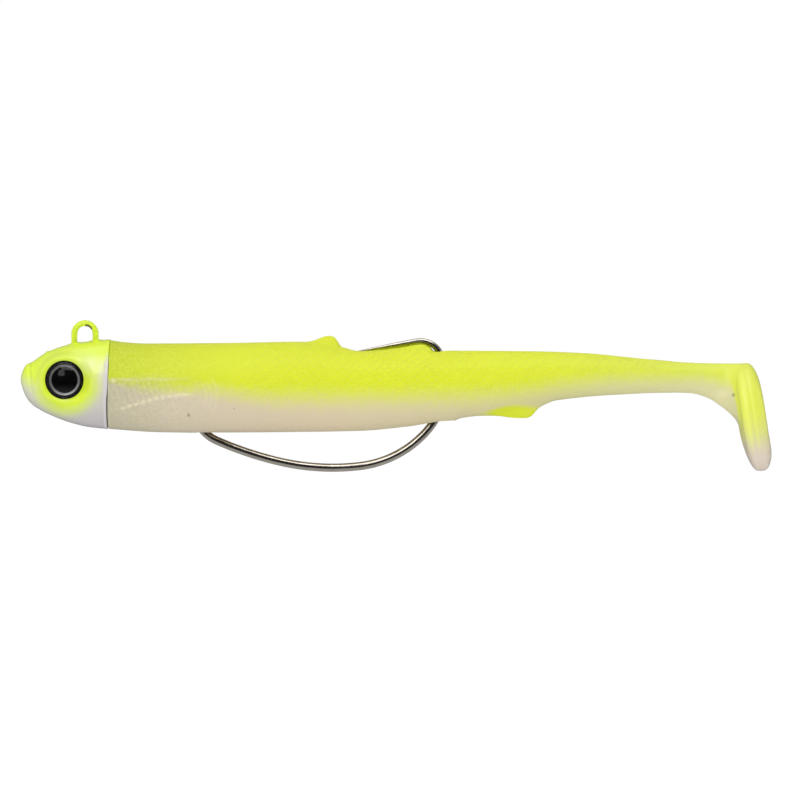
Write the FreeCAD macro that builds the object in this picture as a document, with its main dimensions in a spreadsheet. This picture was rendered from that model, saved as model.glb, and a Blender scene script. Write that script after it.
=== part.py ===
import FreeCAD, Part
import os

import Sketcher

# A jointed weedless swimbait in millimetres. The origin is the centre of the line-tie loop.
# +X runs to the tail, +Z is up, and the part is symmetric about Y = 0.

doc = FreeCAD.newDocument("swimbait")
sheet = doc.addObject("Spreadsheet::Sheet", "dims")

# Plain sizes: name, value
SIZES = [
    # through wire
    ("tie_radius", 1.7),
    ("wire_radius", 0.425),
    ("tie_front_leg", 6.0),
    ("tie_rear_leg", 5.0),
    ("wire_elbow_radius", 1.6),
    ("rear_loop_radius", 1.5),
    ("rear_wire_run", 3.6),
    ("rear_wire_tail", 4.6),
    ("half_turn", 180),
    ("quarter_turn", 90),
    # head
    ("boss_at", 3.5),
    ("boss_radius", 2.5),
    ("boss_length", 1.9),
    ("barb_radius", 2.9),
    ("barb_length", 0.8),
    ("eye_x", -3.3),
    ("eye_z", -7.45),
    ("eye_pocket_radius", 3.1),
    ("eye_pocket_floor", 4.3),
    ("eye_disc_radius", 3.0),
    ("eye_disc_thick", 0.25),
    ("eye_dome_radius", 4.6),
    ("eye_dome_cut", 51.0),
    # hook
    ("hinge_x", 8.4),
    ("hinge_z", -8.1),
    ("hook_eye_bore", 1.0),
    ("hook_eye_outer", 2.1),
    ("hook_eye_thick", 1.1),
    ("hook_wire_radius", 0.7),
    ("hook_forged_width", 1.2),
    ("hook_claw_wire_radius", 0.45),
    ("hook_tip_radius", 0.08),
    # soft body
    ("collar_front", 4.05),
    ("collar_end", 12.6),
    ("trunk_front", 12.7),
    ("nose_pocket_radius", 3.0),
    ("tail_bend_x", 76.0),
    ("tail_bend_radius", 2.8),
    ("tail_mid_x", 88.0),
    ("tail_mid_radius", 1.9),
    ("flap_x", 100.0),
    ("flap_radius", 1.2),
    ("knuckle_gap", 0.3),
    ("skin_end", 105.2),
    # slot for the hook
    ("slot_width", 2.0),
    ("slot_end", 59.0),
    ("belly_slit_from", 18.0),
    ("belly_slit_top", -11.8),
    ("bend_slot_from", 53.4),
    ("back_groove_from", 42.0),
    ("back_groove_floor", -3.8),
    ("shank_slot_x", 12.1),
    ("shank_slot_z", -8.4),
    ("shank_slot_tall", 3.4),
    ("shank_slot_long", 13.0),
    ("neck_slot_end", 14.9),
    ("neck_slot_low", -9.3),
    ("neck_slot_high", -6.6),
    # fins and paddle
    ("fin_width", 1.3),
    ("paddle_x", 106.65),
    ("paddle_z", -13.35),
    ("paddle_lean", 8.6),
    ("paddle_tall", 8.7),
    ("paddle_wide", 5.8),
]

# Sections of the painted head: name, x, middle z, half height, half width
HEAD_SECTIONS = [
    ("snout", -10.2, -7.45, 1.0, 0.8),
    ("lips", -9.6, -7.55, 2.3, 1.85),
    ("jaw", -8.4, -7.8, 3.5, 2.9),
    ("brow", -6.2, -7.85, 4.85, 4.2),
    ("eyeline", -3.4, -7.85, 6.0, 5.1),
    ("cheek", 0.2, -8.0, 6.75, 5.6),
    ("nape", 3.9, -8.05, 7.15, 5.7),
]

# Sections of the soft body: name, x, middle z, half height, half width
BODY_SECTIONS = [
    ("throat", 4.05, -8.15, 7.1, 5.65),
    ("shoulder", 10.0, -8.55, 7.05, 5.75),
    ("chest", 18.0, -8.7, 7.15, 5.8),
    ("belly", 28.0, -8.6, 7.25, 5.8),
    ("saddle", 36.0, -8.55, 7.2, 5.6),
    ("flank", 44.0, -8.75, 6.9, 5.25),
    ("loin", 50.0, -8.7, 6.4, 4.8),
    ("haunch", 57.0, -8.35, 5.7, 4.25),
    ("vent", 64.0, -7.8, 5.1, 3.7),
    ("rump", 71.0, -7.15, 4.4, 3.2),
    ("root", 77.5, -6.6, 3.7, 2.7),
    ("waist", 85.5, -6.65, 3.1, 2.1),
    ("shaft", 92.0, -6.85, 2.65, 1.65),
    ("wrist", 98.5, -7.25, 2.6, 1.25),
    ("web", 101.5, -8.1, 3.4, 1.15),
    ("fork", 103.8, -9.05, 4.3, 1.1),
    ("heel", 105.2, -10.1, 5.3, 1.1),
]

# Rings of the paddle across its thickness: name, distance from its middle plane, share of full size.
# The dip between the first two full rings is the groove round its edge.
PADDLE_RINGS = [
    ("face", -1.95, 0.88),
    ("lip", -1.5, 0.97),
    ("crest", -1.0, 1.0),
    ("groove", -0.45, 0.965),
    ("ridge", 0.15, 1.0),
    ("back", 1.1, 0.985),
    ("edge", 1.7, 0.93),
    ("rear", 1.95, 0.86),
]

# Outlines of the two fins: corner, x, z. Their lower or inner corners are buried in the body.
DORSAL_FIN = [
    ("front", 34.5, -2.4),
    ("rise", 36.4, -0.98),
    ("shoulder", 38.0, -0.4),
    ("peak", 39.0, -0.25),
    ("crown", 39.7, -0.5),
    ("drop", 40.3, -1.5),
    ("heel", 41.3, -3.0),
]
ANAL_FIN = [
    ("front", 64.5, -11.5),
    ("lead", 66.6, -13.0),
    ("low", 68.5, -13.5),
    ("keel", 70.3, -13.55),
    ("tip", 71.4, -13.1),
    ("trail", 72.6, -12.0),
    ("back", 74.4, -10.9),
    ("inner", 74.4, -9.5),
]

# Bends of the hook wire from its eye to its point: name, length or radius, turn in degrees.
# No turn means straight; a positive turn is to the left, which is up on the way to the tail.
HOOK_RUNS = [
    ("neck", 2.4, None),
    ("offset", 2.1, -53.4),
    ("shank", 9.1, None),
    ("exit", 4.0, 32.3),
    ("bow", 73.0, 7.1),
    ("sag", 38.0, 21.2),
    ("rise", 18.7, 29.9),
    ("gape", 12.5, 80.2),
    ("claw", 1.9, 72.5),
    ("point", 11.2, None),
]

# Bends of the wire through the head, from its buried front end to its buried rear end.
WIRE_RUNS = [
    ("tie_front_leg", 6.0, None, None),
    ("tie_radius", 1.7, "half_turn", -180),
    ("tie_rear_leg", 5.0, None, None),
    ("wire_elbow_radius", 1.6, "quarter_turn", 90),
    ("rear_wire_run", 3.6, None, None),
    ("rear_loop_radius", 1.5, "half_turn", -180),
    ("rear_wire_tail", 4.6, None, None),
]


def fill_sheet():
    rows = list(SIZES)
    for name, at, middle, tall, wide in HEAD_SECTIONS + BODY_SECTIONS:
        rows.append((name + "_at", at))
        rows.append((name + "_middle", middle))
        rows.append((name + "_tall", tall))
        rows.append((name + "_wide", wide))
    for fin, corners in (("dorsal_fin", DORSAL_FIN), ("anal_fin", ANAL_FIN)):
        for corner, x, z in corners:
            rows.append(("%s_%s_x" % (fin, corner), x))
            rows.append(("%s_%s_z" % (fin, corner), z))
    for name, offset, share in PADDLE_RINGS:
        rows.append(("ring_" + name + "_offset", offset))
        rows.append(("ring_" + name + "_share", share))
    for name, size, turn in HOOK_RUNS:
        rows.append(("hook_" + name + "_size", size))
        if turn is not None:
            rows.append(("hook_" + name + "_turn", abs(turn)))
    for row, (name, value) in enumerate(rows, start=1):
        sheet.set("A%d" % row, name)
        sheet.set("B%d" % row, str(value))
        sheet.setAlias("B%d" % row, name)
    doc.recompute()


def bind(thing, **formulas):
    """Tie properties of an object to the sheet; a double underscore stands for a dot."""
    for name, formula in formulas.items():
        thing.setExpression(name.replace("__", "."), formula)


def turn_about_y(thing, degrees):
    thing.Placement.Rotation = FreeCAD.Rotation(FreeCAD.Vector(0, 1, 0), degrees)


def block(name, x1, x2, z1, z2, wide):
    """A box between two X and two Z values, centred on Y = 0."""
    box = doc.addObject("Part::Box", name)
    bind(box, Length="(%s) - (%s)" % (x2, x1), Height="(%s) - (%s)" % (z2, z1), Width=wide)
    bind(box, Placement__Base__x=x1, Placement__Base__y="-(%s) / 2" % wide, Placement__Base__z=z1)
    return box


def post(name, x, radius):
    """An upright cylinder through the whole height of the lure."""
    cylinder = doc.addObject("Part::Cylinder", name)
    cylinder.Height = 40
    cylinder.Placement.Base.z = -30
    bind(cylinder, Radius=radius, Placement__Base__x=x)
    return cylinder


def rod_along_x(name, x, length, radius):
    cylinder = doc.addObject("Part::Cylinder", name)
    turn_about_y(cylinder, 90)
    bind(cylinder, Radius=radius, Height=length)
    bind(cylinder, Placement__Base__x=x, Placement__Base__z="dims.hinge_z")
    return cylinder


def join(name, parts):
    fused = doc.addObject("Part::MultiFuse", name)
    fused.Shapes = parts
    return fused


def overlap(name, parts):
    common = doc.addObject("Part::MultiCommon", name)
    common.Shapes = parts
    return common


def cut(name, base, tool):
    result = doc.addObject("Part::Cut", name)
    result.Base = base
    result.Tool = tool
    return result


def loft(name, sections, straight=False):
    skin = doc.addObject("Part::Loft", name)
    skin.Sections = sections
    skin.Solid = True
    skin.Ruled = straight
    return skin


def upright_ellipse(name, x, z, tall, wide, lean=0.0):
    """An ellipse across the lure, its long axis upright, leaned back at the bottom by some degrees."""
    ellipse = doc.addObject("Part::Ellipse", name)
    turn_about_y(ellipse, -90 - lean)
    bind(ellipse, MajorRadius=tall, MinorRadius=wide)
    bind(ellipse, Placement__Base__x=x, Placement__Base__z=z)
    return ellipse


def lofted_sections(name, table):
    rings = []
    for station, at, middle, tall, wide in table:
        word = "dims." + station
        rings.append(
            upright_ellipse(name + "_" + station, word + "_at", word + "_middle",
                            word + "_tall", word + "_wide")
        )
    return loft(name, rings)


def sketch_on_side(name):
    """A sketch in the XZ plane, its own x along +X and its own y along +Z."""
    sketch = doc.addObject("Sketcher::SketchObject", name)
    sketch.Placement.Rotation = FreeCAD.Rotation(FreeCAD.Vector(1, 0, 0), 90)
    return sketch


def bent_path(name, heading, runs):
    """A chain of straight runs and bends from the sketch's origin, each tied to the sheet.

    Every run is (size alias, length or radius, turn alias, turn in degrees or None).
    """
    sketch = sketch_on_side(name)
    here = FreeCAD.Vector(0, 0, 0)
    flat = FreeCAD.Vector(0, 0, 1)
    end_of_last = None
    for index, (size_alias, size, turn_alias, turn) in enumerate(runs):
        forward = FreeCAD.Rotation(flat, heading).multVec(FreeCAD.Vector(1, 0, 0))
        if turn is None:
            there = here + forward * size
            sketch.addGeometry(Part.LineSegment(here, there), False)
            start, end = 1, 2
            size_kind = "Distance"
        else:
            side = 1 if turn > 0 else -1
            centre = here + FreeCAD.Rotation(flat, 90 * side).multVec(forward) * size
            there = centre + FreeCAD.Rotation(flat, turn).multVec(here - centre)
            first, last = (here, there) if turn > 0 else (there, here)
            circle = Part.Circle(centre, flat, size)
            arc = Part.ArcOfCircle(circle, circle.parameter(first), circle.parameter(last))
            sketch.addGeometry(arc, False)
            start, end = (1, 2) if turn > 0 else (2, 1)
            heading += turn
            size_kind = "Radius"
        if end_of_last is None:
            sketch.addConstraint(Sketcher.Constraint("Coincident", index, start, -1, 1))
            direction = "Horizontal" if abs(forward.x) > abs(forward.y) else "Vertical"
            sketch.addConstraint(Sketcher.Constraint(direction, index))
        else:
            sketch.addConstraint(
                Sketcher.Constraint("Tangent", index - 1, end_of_last, index, start)
            )
        number = sketch.addConstraint(Sketcher.Constraint(size_kind, index, size))
        sketch.setExpression("Constraints[%d]" % number, "dims." + size_alias)
        if turn is not None:
            angle = FreeCAD.Units.Quantity("%f deg" % abs(turn))
            number = sketch.addConstraint(Sketcher.Constraint("Angle", index, angle))
            sketch.setExpression("Constraints[%d]" % number, "dims.%s * 1 deg" % turn_alias)
        here = there
        end_of_last = end
    return sketch


def ring_on(name, path, edge, share, radius):
    """A circle square to one edge of a path, at a share of that edge's length."""
    circle = doc.addObject("Part::Circle", name)
    circle.AttachmentSupport = [(path, "Edge%d" % edge)]
    circle.MapMode = "NormalToEdge"
    circle.MapPathParameter = share
    bind(circle, Radius=radius)
    return circle


def sweep(name, path, edges, rings):
    pipe = doc.addObject("Part::Sweep", name)
    pipe.Sections = rings
    pipe.Spine = (path, ["Edge%d" % edge for edge in edges])
    pipe.Solid = True
    pipe.Frenet = False
    return pipe


def make_through_wire():
    path = bent_path("wire_path", 90.0, WIRE_RUNS)
    bind(path, Placement__Base__x="-dims.tie_radius", Placement__Base__z="-dims.tie_front_leg")
    doc.recompute()
    ring = ring_on("wire_ring", path, 1, 0.0, "dims.wire_radius")
    wire = sweep("through_wire", path, range(1, len(WIRE_RUNS) + 1), [ring])
    return wire


def make_boss():
    """The barbed boss behind the head, which holds the nose of the soft body."""
    rod = rod_along_x("boss_rod", "dims.boss_at", "dims.boss_length", "dims.boss_radius")
    barb = doc.addObject("Part::Cone", "boss_barb")
    turn_about_y(barb, 90)
    bind(barb, Radius1="dims.barb_radius", Radius2="dims.boss_radius", Height="dims.barb_length")
    bind(barb, Placement__Base__x="dims.boss_at + dims.boss_length - dims.barb_length")
    bind(barb, Placement__Base__z="dims.hinge_z")
    return join("boss", [rod, barb])


def round_across(name, radius, start, length, side):
    """A cylinder about a Y line through the eye, from a distance off the middle outward."""
    cylinder = doc.addObject("Part::Cylinder", name)
    cylinder.Placement.Rotation = FreeCAD.Rotation(FreeCAD.Vector(1, 0, 0), -90 * side)
    bind(cylinder, Radius=radius, Height=length)
    bind(cylinder, Placement__Base__x="dims.eye_x", Placement__Base__z="dims.eye_z")
    bind(cylinder, Placement__Base__y="%d * (%s)" % (side, start))
    return cylinder


def make_head(boss, wire):
    skin = lofted_sections("head", HEAD_SECTIONS)
    solid = join("head_solid", [skin, boss])
    pockets = [
        round_across("eye_pocket_left", "dims.eye_pocket_radius", "dims.eye_pocket_floor", "5", -1),
        round_across("eye_pocket_right", "dims.eye_pocket_radius", "dims.eye_pocket_floor", "5", 1),
    ]
    pocketed = cut("head_pocketed", solid, join("eye_pockets", pockets))
    return cut("head_casting", pocketed, wire)


def make_eye(side_name, side):
    disc = round_across("eye_disc_" + side_name, "dims.eye_disc_radius",
                        "dims.eye_pocket_floor", "dims.eye_disc_thick", side)
    dome = doc.addObject("Part::Sphere", "eye_dome_" + side_name)
    dome.Placement.Rotation = FreeCAD.Rotation(FreeCAD.Vector(1, 0, 0), -90 * side)
    bind(dome, Radius="dims.eye_dome_radius", Angle1="dims.eye_dome_cut * 1 deg")
    bind(dome, Placement__Base__x="dims.eye_x", Placement__Base__z="dims.eye_z")
    base = "dims.eye_pocket_floor + dims.eye_disc_thick"
    sunk = "dims.eye_dome_radius * sin(dims.eye_dome_cut * 1 deg)"
    bind(dome, Placement__Base__y="%d * (%s - %s)" % (side, base, sunk))
    return [disc, dome]


def make_hook_eye():
    outer = doc.addObject("Part::Cylinder", "hook_eye_outer")
    bore = doc.addObject("Part::Cylinder", "hook_eye_bore")
    bind(outer, Radius="dims.hook_eye_outer")
    bind(bore, Radius="dims.hook_eye_bore")
    for cylinder in (outer, bore):
        bind(cylinder, Height="dims.hook_eye_thick", Placement__Base__x="dims.hinge_x")
        bind(cylinder, Placement__Base__z="dims.hinge_z - dims.hook_eye_thick / 2")
    ring = cut("hook_eye_ring", outer, bore)
    doc.recompute()
    rounded = doc.addObject("Part::Fillet", "hook_eye")
    rounded.Base = ring
    edges = enumerate(ring.Shape.Edges, start=1)
    rounded.Edges = [(number, 0.35, 0.35) for number, edge in edges if edge.isClosed()]
    return rounded


def make_hook():
    runs = []
    for name, size, turn in HOOK_RUNS:
        runs.append(("hook_" + name + "_size", size, "hook_" + name + "_turn", turn))
    path = bent_path("hook_path", 0.0, runs)
    start = "dims.hinge_x + (dims.hook_eye_bore + dims.hook_eye_outer) / 2"
    bind(path, Placement__Base__x=start, Placement__Base__z="dims.hinge_z")
    doc.recompute()
    wire = sweep("hook_wire", path, range(1, 9),
                 [ring_on("hook_ring", path, 1, 0.0, "dims.hook_wire_radius")])
    claw = sweep("hook_claw", path, [9],
                 [ring_on("claw_ring_1", path, 9, 0.0, "dims.hook_wire_radius"),
                  ring_on("claw_ring_2", path, 9, 1.0, "dims.hook_claw_wire_radius")])
    point = sweep("hook_point", path, [10],
                  [ring_on("point_ring_1", path, 10, 0.0, "dims.hook_claw_wire_radius"),
                   ring_on("point_ring_2", path, 10, 1.0, "dims.hook_tip_radius")])
    round_wire = join("hook_round", [wire, claw, point])
    slab = block("hook_slab", "dims.hinge_x", "dims.slot_end + 3", "-30", "5",
                 "dims.hook_forged_width")
    forged = overlap("hook_forged", [round_wire, slab])
    return join("hook", [forged, make_hook_eye()])


def make_hook_slot():
    """Everything that the soft body leaves free for the hook, at rest and as it pitches up."""
    wide = "dims.slot_width"
    end = "dims.slot_end"
    shank = doc.addObject("Part::Box", "shank_slot")
    turn_about_y(shank, 53.4)
    bind(shank, Length="dims.shank_slot_long", Height="dims.shank_slot_tall", Width=wide)
    bind(shank, Placement__Rotation__Angle="dims.hook_offset_turn * 1 deg")
    bind(shank, Placement__Base__x="dims.shank_slot_x", Placement__Base__z="dims.shank_slot_z")
    bind(shank, Placement__Base__y="-%s / 2" % wide)
    neck = block("neck_slot", "dims.shank_slot_x", "dims.neck_slot_end",
                 "dims.neck_slot_low", "dims.neck_slot_high", wide)
    slit = block("belly_slit", "dims.belly_slit_from", end, "-20", "dims.belly_slit_top", wide)
    bend = block("bend_slot", "dims.bend_slot_from", end, "-20", "2", wide)
    groove = block("back_groove", "dims.back_groove_from", end, "dims.back_groove_floor", "2", wide)
    return join("hook_slot", [shank, neck, slit, bend, groove])


def fin_plate(name, table):
    """A thin upright plate on the middle plane, its corners tied to the sheet."""
    sketch = sketch_on_side(name + "_outline")
    corners = [FreeCAD.Vector(x, z, 0) for _, x, z in table]
    count = len(corners)
    for index, corner in enumerate(corners):
        sketch.addGeometry(Part.LineSegment(corner, corners[(index + 1) % count]), False)
    for index in range(count):
        following = (index + 1) % count
        sketch.addConstraint(Sketcher.Constraint("Coincident", index, 2, following, 1))
    for index, (corner, x, z) in enumerate(table):
        across = sketch.addConstraint(Sketcher.Constraint("DistanceX", -1, 1, index, 1, x))
        sketch.setExpression("Constraints[%d]" % across, "dims.%s_%s_x" % (name, corner))
        down = sketch.addConstraint(Sketcher.Constraint("DistanceY", index, 1, -1, 1, -z))
        sketch.setExpression("Constraints[%d]" % down, "-dims.%s_%s_z" % (name, corner))
    plate = doc.addObject("Part::Extrusion", name + "_plate")
    plate.Base = sketch
    plate.DirMode = "Custom"
    plate.Dir = FreeCAD.Vector(0, 1, 0)
    plate.Solid = True
    plate.Symmetric = True
    bind(plate, LengthFwd="dims.fin_width")
    return plate


def make_soft_skin():
    return lofted_sections("skin", BODY_SECTIONS)


def make_collar(skin, boss):
    slab = block("collar_slab", "dims.collar_front", "dims.collar_end", "-30", "10", "30")
    shell = overlap("collar_shell", [skin, slab])
    pocket = rod_along_x("nose_pocket", "dims.boss_at + dims.boss_length", "10",
                         "dims.nose_pocket_radius")
    return cut("body_collar", shell, join("collar_hollow", [pocket, boss]))


def make_trunk(skin):
    slab = block("trunk_slab", "dims.trunk_front", "dims.tail_bend_x", "-30", "10", "30")
    length = overlap("trunk_length", [skin, slab])
    dorsal = fin_plate("dorsal_fin", DORSAL_FIN)
    anal = fin_plate("anal_fin", ANAL_FIN)
    finned = join("trunk_finned", [length, dorsal, anal])
    socket = post("trunk_socket", "dims.tail_bend_x", "dims.tail_bend_radius + dims.knuckle_gap")
    return cut("body_trunk", finned, join("trunk_hollow", [socket, make_hook_slot()]))


def make_tail_piece(name, skin, x, radius, next_x, next_radius):
    """A length of tail: round in front, about its own hinge line, and hollowed for the next one."""
    slab = block(name + "_slab", x, next_x, "-30", "10", "30")
    knuckle = post(name + "_knuckle", x, radius)
    length = overlap(name + "_length", [skin, join(name + "_reach", [slab, knuckle])])
    socket = post(name + "_socket", next_x, "%s + dims.knuckle_gap" % next_radius)
    return cut(name, length, socket)


def make_paddle(skin):
    slab = block("web_slab", "dims.flap_x", "dims.skin_end + 1", "-30", "10", "30")
    knuckle = post("web_knuckle", "dims.flap_x", "dims.flap_radius")
    web = overlap("paddle_web", [skin, join("web_reach", [slab, knuckle])])
    rings = []
    for ring, offset, share in PADDLE_RINGS:
        word = "dims.ring_" + ring
        rings.append(
            upright_ellipse(
                "paddle_" + ring,
                "dims.paddle_x + %s_offset * cos(dims.paddle_lean * 1 deg)" % word,
                "dims.paddle_z + %s_offset * sin(dims.paddle_lean * 1 deg)" % word,
                "dims.paddle_tall * %s_share" % word,
                "dims.paddle_wide * %s_share" % word,
                lean=8.6,
            )
        )
    return join("tail_paddle", [web, loft("paddle_disc", rings, straight=True)])


def main():
    fill_sheet()
    wire = make_through_wire()
    boss = make_boss()
    skin = make_soft_skin()
    nodes = [wire, make_head(boss, wire)]
    nodes += make_eye("left", -1)
    nodes += make_eye("right", 1)
    nodes.append(make_hook())
    nodes.append(make_collar(skin, boss))
    nodes.append(make_trunk(skin))
    nodes.append(
        make_tail_piece("tail_root", skin, "dims.tail_bend_x", "dims.tail_bend_radius",
                        "dims.tail_mid_x", "dims.tail_mid_radius")
    )
    nodes.append(
        make_tail_piece("tail_stem", skin, "dims.tail_mid_x", "dims.tail_mid_radius",
                        "dims.flap_x", "dims.flap_radius")
    )
    nodes.append(make_paddle(skin))
    doc.recompute()
    for thing in doc.Objects:
        if "Invalid" in thing.State or "Error" in thing.State:
            raise RuntimeError("%s did not build" % thing.Name)
    os.makedirs("parts", exist_ok=True)
    for node in nodes:
        node.Label = node.Name
        shape = node.Shape
        if shape.isNull() or not shape.isValid() or len(shape.Solids) != 1:
            raise RuntimeError("%s is not one sound solid" % node.Label)
        shape.exportStep("parts/%s.step" % node.Label)
        print(node.Label, round(shape.Volume, 1))


main()
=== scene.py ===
import math

import bmesh
import bpy
import numpy as np
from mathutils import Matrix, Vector


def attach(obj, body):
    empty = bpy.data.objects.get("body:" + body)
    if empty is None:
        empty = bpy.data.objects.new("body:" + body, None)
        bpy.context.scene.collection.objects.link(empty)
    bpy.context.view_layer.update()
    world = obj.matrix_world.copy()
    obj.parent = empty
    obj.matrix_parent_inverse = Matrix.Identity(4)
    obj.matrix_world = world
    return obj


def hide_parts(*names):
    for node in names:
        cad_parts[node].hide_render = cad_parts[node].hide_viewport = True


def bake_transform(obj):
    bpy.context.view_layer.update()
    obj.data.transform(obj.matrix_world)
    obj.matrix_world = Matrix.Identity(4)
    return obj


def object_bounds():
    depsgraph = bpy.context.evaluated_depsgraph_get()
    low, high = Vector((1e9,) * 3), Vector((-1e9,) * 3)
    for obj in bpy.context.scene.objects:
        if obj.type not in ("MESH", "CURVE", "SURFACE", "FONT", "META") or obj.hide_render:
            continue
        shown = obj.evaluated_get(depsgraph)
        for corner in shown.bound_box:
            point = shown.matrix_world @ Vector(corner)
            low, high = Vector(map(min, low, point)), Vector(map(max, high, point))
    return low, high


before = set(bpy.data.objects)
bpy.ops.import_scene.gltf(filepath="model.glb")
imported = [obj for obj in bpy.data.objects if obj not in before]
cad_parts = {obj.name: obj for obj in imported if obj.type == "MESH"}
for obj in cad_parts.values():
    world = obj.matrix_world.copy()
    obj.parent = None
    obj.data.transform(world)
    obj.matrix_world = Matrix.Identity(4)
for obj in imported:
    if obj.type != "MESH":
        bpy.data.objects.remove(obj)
cad_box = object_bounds()

# Shapes are worked out in millimetres in the row frame (origin at the line tie, +X to the tail, +Z up)
# and turned into metres when a mesh is made.
MM = 0.001


# ---------------------------------------------------------------- small maths

def smooth_line(points):
    """A smooth curve through (position, value) points that never overshoots them."""
    xs, ys = np.array(points, float).T
    steps = np.diff(xs)
    rises = np.diff(ys) / steps
    slopes = np.zeros(len(xs))
    slopes[0], slopes[-1] = rises[0], rises[-1]
    for i in range(1, len(xs) - 1):
        if rises[i - 1] * rises[i] > 0:
            a = 2 * steps[i] + steps[i - 1]
            b = steps[i] + 2 * steps[i - 1]
            slopes[i] = (a + b) / (a / rises[i - 1] + b / rises[i])

    def value(x):
        x = np.clip(np.asarray(x, float), xs[0], xs[-1])
        i = np.clip(np.searchsorted(xs, x, side="right") - 1, 0, len(xs) - 2)
        t = (x - xs[i]) / steps[i]
        low = (1 + 2 * t) * (1 - t) ** 2 * ys[i] + t * (1 - t) ** 2 * steps[i] * slopes[i]
        high = t * t * (3 - 2 * t) * ys[i + 1] + t * t * (t - 1) * steps[i] * slopes[i + 1]
        return low + high

    return value


def ease(x, start, end):
    """0 before start, 1 after end, smooth between; start may be the larger."""
    t = np.clip((np.asarray(x, float) - start) / (end - start), 0, 1)
    return t * t * (3 - 2 * t)


def hump(x, centre, width):
    return np.exp(-((np.asarray(x, float) - centre) / width) ** 2)


def signed_power(value, power):
    return np.sign(value) * np.abs(value) ** power


def round_turn(count):
    """Evenly spaced angles round a full turn, in radians."""
    return np.linspace(0, 2 * math.pi, count, endpoint=False)


def stations(*spans):
    """Evenly spaced places in each (start, end, step) span."""
    places = [np.linspace(a, b, max(2, round((b - a) / step) + 1))[:-1] for a, b, step in spans]
    return np.concatenate(places + [[spans[-1][1]]])


# ---------------------------------------------------------------- meshes

def new_object(name, points, faces, smooth=True):
    """A mesh object from points in millimetres."""
    mesh = bpy.data.meshes.new(name)
    mesh.from_pydata((np.asarray(points, float) * MM).tolist(), [], faces)
    mesh.validate()
    mesh.update()
    if smooth:
        mesh.polygons.foreach_set("use_smooth", [True] * len(mesh.polygons))
    thing = bpy.data.objects.new(name, mesh)
    bpy.context.scene.collection.objects.link(thing)
    return thing


def tube_mesh(name, rings, nose=None, tail=None):
    """A closed skin over rings of equal count; each end is a fan to nose or tail, or to the ring's middle."""
    rings = np.asarray(rings, float)
    count, around = rings.shape[:2]
    last_ring = (count - 1) * around
    first = rings[0].mean(0) if nose is None else np.asarray(nose, float)
    last = rings[-1].mean(0) if tail is None else np.asarray(tail, float)
    points = np.vstack([rings.reshape(-1, 3), first, last])
    faces = []
    for i in range(count - 1):
        a, b = i * around, (i + 1) * around
        for j in range(around):
            k = (j + 1) % around
            faces.append((a + j, b + j, b + k, a + k))
    start, end = count * around, count * around + 1
    for j in range(around):
        k = (j + 1) % around
        faces.append((start, j, k))
        faces.append((end, last_ring + k, last_ring + j))
    thing = new_object(name, points, faces)
    flat_ends = []
    if nose is None:
        flat_ends.append(0)
    if tail is None:
        flat_ends.append(last_ring)
    crease_rings(thing, flat_ends, around)
    face_outward(thing)
    return thing


def crease_rings(thing, starts, around):
    """Marks the edges of these rings sharp, so that a flat end doesn't shade the skin beside it."""
    wanted = set()
    for start in starts:
        for j in range(around):
            wanted.add(frozenset((start + j, start + (j + 1) % around)))
    if not wanted:
        return
    bm = bmesh.new()
    bm.from_mesh(thing.data)
    for edge in bm.edges:
        if frozenset(v.index for v in edge.verts) in wanted:
            edge.smooth = False
    bm.to_mesh(thing.data)
    bm.free()


def face_outward(thing):
    bm = bmesh.new()
    bm.from_mesh(thing.data)
    bmesh.ops.recalc_face_normals(bm, faces=bm.faces)
    bm.to_mesh(thing.data)
    bm.free()


def apply_modifiers(thing):
    """Replaces the mesh by what its modifiers make of it."""
    depsgraph = bpy.context.evaluated_depsgraph_get()
    made = bpy.data.meshes.new_from_object(thing.evaluated_get(depsgraph))
    thing.modifiers.clear()
    thing.data = made


def carve(thing, cutter):
    """Takes the cutter's volume out of a closed mesh and drops the cutter."""
    step = thing.modifiers.new("carve", "BOOLEAN")
    step.operation = "DIFFERENCE"
    step.solver = "EXACT"
    step.object = cutter
    apply_modifiers(thing)
    bpy.data.objects.remove(cutter)


def prism(name, outline, half_width):
    """A flat outline in the XZ plane given a thickness across Y."""
    count = len(outline)
    points = [(x, -half_width, z) for x, z in outline] + [(x, half_width, z) for x, z in outline]
    faces = [tuple(range(count)), tuple(range(2 * count - 1, count - 1, -1))]
    for j in range(count):
        k = (j + 1) % count
        faces.append((j, count + j, count + k, k))
    thing = new_object(name, points, faces, smooth=False)
    face_outward(thing)
    return thing


def lathe(name, profile, centre, axis, around):
    """A solid turned about an axis from (radius, height) points; the ends are on the axis."""
    axis = np.asarray(axis, float)
    side = np.array([1.0, 0, 0]) if abs(axis[0]) < 0.9 else np.array([0, 0, 1.0])
    other = np.cross(axis, side)
    angles = round_turn(around)
    circle = np.outer(np.cos(angles), side) + np.outer(np.sin(angles), other)
    rings = [np.asarray(centre) + radius * circle + height * axis for radius, height in profile[1:-1]]
    nose = np.asarray(centre) + profile[0][1] * axis
    tail = np.asarray(centre) + profile[-1][1] * axis
    return tube_mesh(name, rings, nose, tail)


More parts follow.
